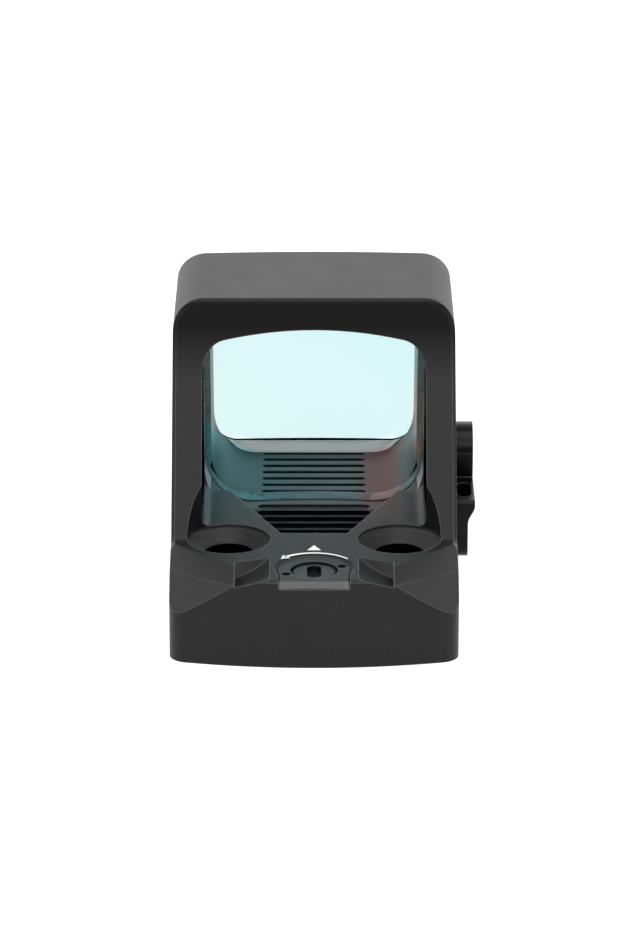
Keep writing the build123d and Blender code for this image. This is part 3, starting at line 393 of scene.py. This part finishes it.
def housing_finish():
    """The anodised body, with turned counterbores, painted shade on the upper bow, channel, through holes,
    rim and jambs, and painted light on the tunnel, seat and front lip.
    """
    g = Graph("anodised_body_look")
    grains, tone = metal_tone(g, grain=0.085, cloud=3.4, streak=0.11, run=0.05, cloud_share=0.45)
    base, rounded = worn_and_highlit_metal(g, rgba(0.0078, 0.0078, 0.008), 1.5, tone, edge=0.13 * MM, worn=0.8)
    bow = painted_bow_shade(g)
    # painted shade: the upper bow of the leaning rear face is darkened
    base = g.blend(g.product(bow, 0.7), base, rgba(0.003))
    turned, bored_shade = counterbore_shares(g)
    rings = g.noise(0.10 * MM, 3.0, stretch=(0.04, 0.04, 1.8))
    base = g.blend(g.product(turned, rings), base, rgba(0.05))
    base, rim_and_jamb_shade = opening_layers(g, base)
    channel = channel_shade_share(g)
    # painted shade in the V-shaped channel
    base = g.blend(channel, base, channel_painted_shade(g))
    # painted shade inside the through holes
    base = g.blend(bored_shade, base, rgba(0.0015))
    dark = g.largest(rim_and_jamb_shade, g.product(channel, 0.85), bored_shade, g.product(bow, 0.75))
    height = g.add(grains, g.product(rings, turned, 4.0))
    return g.principled(Base_Color=base, Roughness=g.remap(tone, 0.25, 0.75, 0.40, 0.53),
                        Normal=g.bump(height, 0.006 * MM, rounded),
                        # specular is taken away where shade is painted
                        Specular_IOR_Level=g.remap(dark, 0.0, 1.0, 0.24, 0.0),
                        # warm specular tint painted on the deck, cancelling the cyan light it reflects
                        # from the lens
                        Specular_Tint=g.blend(deck_share(g), WHITE, rgba(1.0, 0.5, 0.49)))


def coated(g, tint, gloss, roughness, least, most):
    """Tinted clear glass with a coloured gloss that grows towards grazing angles."""
    clear = g.node("ShaderNodeBsdfTransparent", Color=tint)
    shine = g.node("ShaderNodeBsdfGlossy", Color=gloss, Roughness=roughness)
    weight = g.node("ShaderNodeLayerWeight", Blend=0.2)
    share = g.remap(weight.outputs["Fresnel"], 0.0, 1.0, least, most)
    return g.mix(share, clear.outputs[0], shine.outputs[0])


def lens_shells(g):
    """Share of the lens's cemented joint and of its edge, which lies in the sealant."""
    reach = g.node("ShaderNodeVectorMath", Vector=g.place)
    reach.operation = "DISTANCE"
    reach.inputs[1].default_value = LENS_JOINT_CENTRE
    joint = between(g, reach.outputs["Value"], LENS_JOINT_R - 0.1 * MM, LENS_JOINT_R + 0.1 * MM, 0.02 * MM)
    _, along, _ = g.parts(g.true_normal())
    return g.largest(joint, g.fall(g.absolute(along), 0.6, 0.7))


def lens_finish(name, tint_of, gloss, gloss_share, roughness):
    """Glass with a tint and a coloured gloss, both left off the cemented joint and the edge."""
    g = Graph(name)
    glass = coated(g, tint_of(g), gloss, roughness, gloss_share, 0.45)
    through = g.node("ShaderNodeBsdfTransparent", Color=WHITE)
    return g.finish(g.mix(lens_shells(g), glass, through.outputs[0]))


def coating_tint_and_painted_reflections(g):
    """Colour let through the lens: the coating's cyan above; along the bottom, painted reflections from
    teal to rose, a pale band of painted glint and a brownish patch at the right edge.
    """
    x, _, z = g.axes()
    patches = g.noise(2.6 * MM, 1.0)
    # painted reflections in the lower zone: teal on the left to pale cyan, with a rose patch on the right
    bottom = g.blend(g.rise(x, -6.0 * MM, 1.5 * MM), rgba(0.40, 0.86, 0.93), rgba(0.66, 0.90, 0.97))
    ragged = g.add(x, g.product(patches, 0.8 * MM))
    rose = between(g, ragged, 4.6 * MM, 7.9 * MM, 0.9 * MM)
    bottom = g.blend(g.product(rose, 0.9), bottom, rgba(1.0, 0.66, 0.61))
    drift = g.rise(g.add(x, z), 6 * MM, 30 * MM)
    upper = g.blend(drift, rgba(0.565, 0.70, 0.70), rgba(0.53, 0.69, 0.70))
    # the zones are bounded by a line that climbs with the fourth power of x
    climb = g.product(g.math("POWER", g.absolute(x), 4.0), 4.7e5)
    above = g.math("SUBTRACT", z, climb)
    tint = g.blend(g.fall(above, 9.3 * MM, 9.9 * MM), upper, bottom)
    # pale band of painted glint along the top of the lower zone
    band = g.product(between(g, above, 9.6 * MM, 10.55 * MM, 0.2 * MM),
                     g.fall(g.absolute(x), 5.8 * MM, 7.2 * MM))
    tint = g.blend(band, tint, rgba(0.93, 1.0, 0.99))
    # brownish patch near the right edge
    brown = g.product(g.rise(x, 8.3 * MM, 8.9 * MM), between(g, z, 9.0 * MM, 17.0 * MM, 1.5 * MM))
    return g.blend(g.product(brown, patches), tint, rgba(0.95, 0.62, 0.45))


def faint_tint(g):
    """The nearly clear front element."""
    return g.blend(g.noise(4 * MM, 1.0), rgba(0.955, 0.985, 0.985), rgba(0.97, 0.99, 0.99))


def clear_glass():
    """Emitter window, with a faint coating."""
    g = Graph("clear_glass_look")
    tint = g.blend(g.noise(4 * MM, 1.0), rgba(0.955, 0.975, 0.98), rgba(0.975, 0.985, 0.99))
    return g.finish(coated(g, tint, rgba(0.75, 0.9, 0.95), 0.02, 0.01, 0.4))


def rubber(name, colour, roughness):
    """Moulded rubber or sealant: soft mottling and a very fine pebble."""
    g = Graph(name)
    pebble = g.noise(0.12 * MM, 3.0)
    cloud = g.rise(g.noise(1.8 * MM, 2.0), 0.3, 0.7)
    return g.principled(Base_Color=g.blend(cloud, shade(colour, 0.75), shade(colour, 1.3)),
                        Normal=g.bump(pebble, 0.01 * MM, g.soft_edges(0.08 * MM)),
                        Roughness=g.remap(pebble, 0.3, 0.7, roughness - 0.07, roughness + 0.07),
                        Specular_IOR_Level=0.35)


def bare_metal(name, colour, roughness, size=0.06 * MM):
    """Bare or plated metal with fine directional tool marks and light tarnish."""
    g = Graph(name)
    marks = g.noise(size, 3.0, stretch=(0.1, 1, 1))
    tarnish = g.rise(g.noise(0.9 * MM, 3.0), 0.35, 0.7)
    return g.principled(Base_Color=g.blend(tarnish, colour, shade(colour, 0.8)), Metallic=1.0,
                        Normal=g.bump(marks, 0.003 * MM, g.soft_edges(0.05 * MM)),
                        Roughness=g.remap(marks, 0.3, 0.7, roughness - 0.06, roughness + 0.08))


def board_finish():
    """Green solder mask over faint copper traces."""
    g = Graph("circuit_board_look")
    cells = g.node("ShaderNodeTexBrick", Vector=g.place, Scale=1 / (6 * MM), Color1=rgba(0.0),
                   Color2=rgba(0.15), Mortar=WHITE, Mortar_Size=0.035)
    traces = g.rise(cells.outputs["Color"], 0.0, 1.0)
    mottled = g.blend(g.noise(1.5 * MM, 2.0), rgba(0.012, 0.10, 0.045), rgba(0.02, 0.15, 0.07))
    return g.principled(Base_Color=g.blend(traces, mottled, rgba(0.05, 0.26, 0.12)),
                        Roughness=0.35, Normal=g.bump(traces, 0.02 * MM))


def moulded(name, colour, roughness):
    """Moulded plastic or ceramic with a fine surface."""
    g = Graph(name)
    fine = g.noise(0.05 * MM, 3.0)
    return g.principled(Base_Color=g.blend(g.noise(0.6 * MM, 2.0), shade(colour, 0.8), shade(colour, 1.2)),
                        Normal=g.bump(fine, 0.004 * MM, g.soft_edges(0.04 * MM)),
                        Roughness=g.remap(fine, 0.3, 0.7, roughness - 0.05, roughness + 0.05))


def paint_finish():
    """White printed ink, a little worn."""
    g = Graph("print_look")
    wear = g.rise(g.noise(0.07 * MM, 3.0), 0.32, 0.42)
    return g.principled(Base_Color=g.blend(wear, rgba(0.55), rgba(0.9)), Roughness=0.6,
                        Normal=g.bump(wear, 0.004 * MM))


def floor_finish():
    """Pale seamless sweep that stays close to white."""
    g = Graph("studio_floor_look")
    tone = g.blend(g.noise(0.03, 2.0), rgba(FLOOR_ALBEDO), rgba(FLOOR_ALBEDO * 1.02))
    return g.principled(Base_Color=tone, Roughness=0.9, Specular_IOR_Level=0.1,
                        Emission_Color=WHITE, Emission_Strength=FLOOR_GLOW)


# finish of each material slot of the record
LOOKS = {
    "anodised_body": housing_finish(),
    "anodised_plate": anodised("anodised_plate_look", rgba(0.012), 0.42, 0.3, bright=PLATE_END_HIGHLIGHT_BOX),
    "anodised_door": anodised("anodised_door_look", rgba(0.0015), 0.28, 0.16, recess_painted_shade=DOOR_RECESS_BOX),
    "coated_glass": lens_finish("coated_glass_look", coating_tint_and_painted_reflections, rgba(0.95, 0.6, 0.5), 0.015, 0.03),
    "clear_glass": clear_glass(),
    # the sealant's light teal-grey is painted light, standing for the light seen on it through the lens
    "sealant": rubber("sealant_look", rgba(0.20, 0.25, 0.25), 0.5),
    "rubber_seal": rubber("rubber_seal_look", rgba(0.012), 0.6),
    "blackened_brass": bare_metal("blackened_brass_look", rgba(0.07, 0.06, 0.045), 0.45),
    "blackened_steel": bare_metal("blackened_steel_look", rgba(0.055, 0.055, 0.058), 0.38),
    "bright_steel": bare_metal("bright_steel_look", rgba(0.62, 0.62, 0.63), 0.22),
    "spring_steel": bare_metal("spring_steel_look", rgba(0.5, 0.5, 0.51), 0.25),
    "brass_block": bare_metal("brass_block_look", rgba(0.72, 0.55, 0.28), 0.32),
    "circuit_board": board_finish(),
    "led_body": moulded("led_body_look", rgba(0.75, 0.70, 0.55), 0.35),
    "chip_plastic": moulded("chip_plastic_look", rgba(0.02), 0.55),
    "cell_can": bare_metal("cell_can_look", rgba(0.66, 0.66, 0.67), 0.28, 0.09 * MM),
    "gold_contact": bare_metal("gold_contact_look", rgba(0.86, 0.62, 0.22), 0.25),
    "button_rubber": rubber("button_rubber_look", rgba(0.018), 0.62),
}

# nodes whose look differs from that of their slot
NODE_LOOKS = {
    "lens_front_element": lens_finish("front_glass_look", faint_tint, rgba(0.7, 0.9, 0.95), 0.005, 0.02),
}


def dress_nodes():
    """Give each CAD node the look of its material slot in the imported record."""
    for part in frame["record"]["subparts"]:
        name = part["node"]
        slots = frame["nodes"][name].data.materials
        slots.clear()
        slots.append(NODE_LOOKS.get(name, LOOKS[part["material_slot"]]))


dress_nodes()


# ==== added pieces ==================================================================
def placed(name, data):
    """A new object in the scene."""
    made = bpy.data.objects.new(name, data)
    bpy.context.scene.collection.objects.link(made)
    return made


def mesh_object(name, bm):
    """A new mesh object in the scene, made from bm, which is freed."""
    mesh = bpy.data.meshes.new(name)
    bm.to_mesh(mesh)
    bm.free()
    return placed(name, mesh)


def solid_from(name, outlines, thickness):
    """One mesh piece of flat outlines, each a list of (x, y), raised to the thickness."""
    bm = bmesh.new()
    for outline in outlines:
        face = bm.faces.new([bm.verts.new((x, y, 0.0)) for x, y in outline])
        raised = bmesh.ops.extrude_face_region(bm, geom=[face])
        up = [v for v in raised["geom"] if isinstance(v, bmesh.types.BMVert)]
        bmesh.ops.translate(bm, verts=up, vec=(0, 0, thickness))
    bmesh.ops.recalc_face_normals(bm, faces=bm.faces)
    return mesh_object(name, bm)


def round_point(radius, angle):
    """Point on a circle, with the angle from +Y towards +X."""
    return (radius * math.sin(angle), radius * math.cos(angle))


def arc_band(radius, start, end, start_half, end_half):
    """Closed outline of an arc line, with its half widths at start and end."""
    outside, inside = [], []
    for step in range(ARROW_STEPS + 1):
        share = step / ARROW_STEPS
        angle = start + (end - start) * share
        half = start_half + (end_half - start_half) * share
        outside.append(round_point(radius + half, angle))
        inside.append(round_point(radius - half, angle))
    return outside + inside[::-1]


def arrow_outlines():
    """Arc line that thins towards +X, with a slim head at its -X end."""
    tip = -ARROW_HALF_ANGLE
    wing = tip + HEAD_ANGLE
    start = wing - HEAD_ANGLE * HEAD_OVERLAP
    body = arc_band(ARROW_R, start, ARROW_HALF_ANGLE, ARROW_LINE / 2, ARROW_LINE / 4)
    head = [
        round_point(ARROW_R, tip),
        round_point(ARROW_R + HEAD_HALF, wing),
        round_point(ARROW_R - HEAD_HALF, wing),
    ]
    return [body, head]


def add_prints():
    """Adjustment arrow round the elevation screw and a plain triangle that means up."""
    ink = paint_finish()
    low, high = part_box("elevation_screw")
    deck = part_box("elevation_plate")[1].z + DECK_ABOVE_PLATE
    centre = Vector(((low.x + high.x) / 2, (low.y + high.y) / 2, deck))
    half = MARK_SIZE / 2
    triangle = [(-half, -half), (half, -half), (0, half)]
    arrow = solid_from("printed_arrow", arrow_outlines(), PRINT_T)
    arrow.location = centre
    mark = solid_from("printed_up_mark", [triangle], PRINT_T)
    mark.location = centre + Vector((0, MARK_Y, 0))
    for piece in (arrow, mark):
        piece.data.materials.append(ink)
        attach(piece, "housing_body")


add_prints()


# ==== studio, lights and camera =====================================================
def add_floor():
    bm = bmesh.new()
    bmesh.ops.create_grid(bm, x_segments=8, y_segments=8, size=FLOOR_HALF)
    floor = mesh_object("studio_floor", bm)
    floor.location.z = CAD_BOX[0].z - FLOOR_DROP
    floor.data.materials.append(floor_finish())


def add_world():
    """White sweep in front, dimmer room behind."""
    world = bpy.data.worlds.new("studio")
    bpy.context.scene.world = world
    world.use_nodes = True
    tree = world.node_tree
    tree.nodes.clear()
    direction = tree.nodes.new("ShaderNodeTexCoord")
    split = tree.nodes.new("ShaderNodeSeparateXYZ")
    ramp = tree.nodes.new("ShaderNodeMapRange")
    background = tree.nodes.new("ShaderNodeBackground")
    output = tree.nodes.new("ShaderNodeOutputWorld")
    tree.links.new(direction.outputs["Generated"], split.inputs[0])
    tree.links.new(split.outputs[1], ramp.inputs[0])
    for socket, number in zip(ramp.inputs[1:5], (*WORLD_TURN, WORLD_BACK, WORLD_FRONT)):
        socket.default_value = number
    tree.links.new(ramp.outputs[0], background.inputs["Strength"])
    tree.links.new(background.outputs[0], output.inputs["Surface"])


def add_light(name, place, size, power):
    """Square soft light that faces the origin."""
    data = bpy.data.lights.new(name, "AREA")
    data.shape = "SQUARE"
    data.size = size
    data.energy = power
    lamp = placed(name, data)
    lamp.location = place
    lamp.rotation_euler = (-Vector(place)).to_track_quat("-Z", "Y").to_euler()


def add_camera():
    data = bpy.data.cameras.new("camera")
    data.lens = CAMERA_LENS
    data.sensor_width = CAMERA_SENSOR
    data.clip_start = 0.01
    data.clip_end = 10.0
    camera = placed("camera", data)
    back = Vector((0, -math.cos(CAMERA_ELEVATION), math.sin(CAMERA_ELEVATION)))
    camera.location = CAMERA_AIM + back * CAMERA_DISTANCE
    camera.rotation_euler = (math.pi / 2 - CAMERA_ELEVATION, 0, 0)
    bpy.context.scene.camera = camera


add_floor()
add_world()
for light in LIGHTS:
    add_light(*light)
add_camera()
bpy.context.scene.view_settings.view_transform = "Standard"
